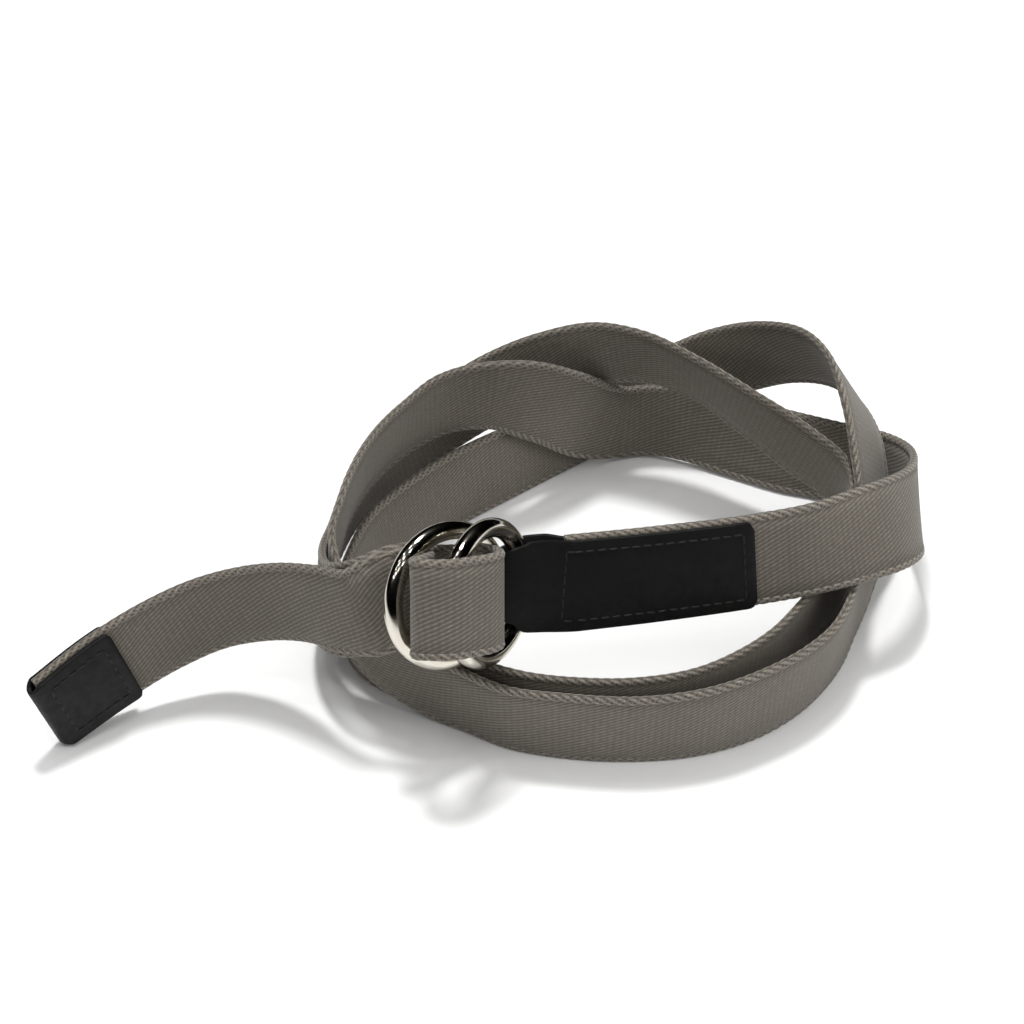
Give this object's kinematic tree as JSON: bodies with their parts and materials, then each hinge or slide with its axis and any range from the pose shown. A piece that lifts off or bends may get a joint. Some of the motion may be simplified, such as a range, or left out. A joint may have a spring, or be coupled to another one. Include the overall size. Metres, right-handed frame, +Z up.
{
  "type": "tape belt",
  "caption": "Flat woven webbing belt with a ring buckle, leather tab and leather tip, lying loosely coiled on its edge.",
  "frame": {"origin": "bottom centre of the belt's bounding box, on the surface that the belt lies on", "axes": "+Z up, +X to the right along the coil's long side, away from the free end, +Y away from the buckle"},
  "size_m": [0.2336, 0.1472, 0.0651],
  "materials": {
    "webbing": "matte diagonal twill weave",
    "leather": "smooth semi-matte black",
    "nickel": "polished nickel plating"
  },
  "bodies": {
    "root": {"webbing_strap": "webbing", "leather_tab": "leather", "leather_tip": "leather", "ring_inner": "nickel", "ring_outer": "nickel"}
  },
  "joints": []
}
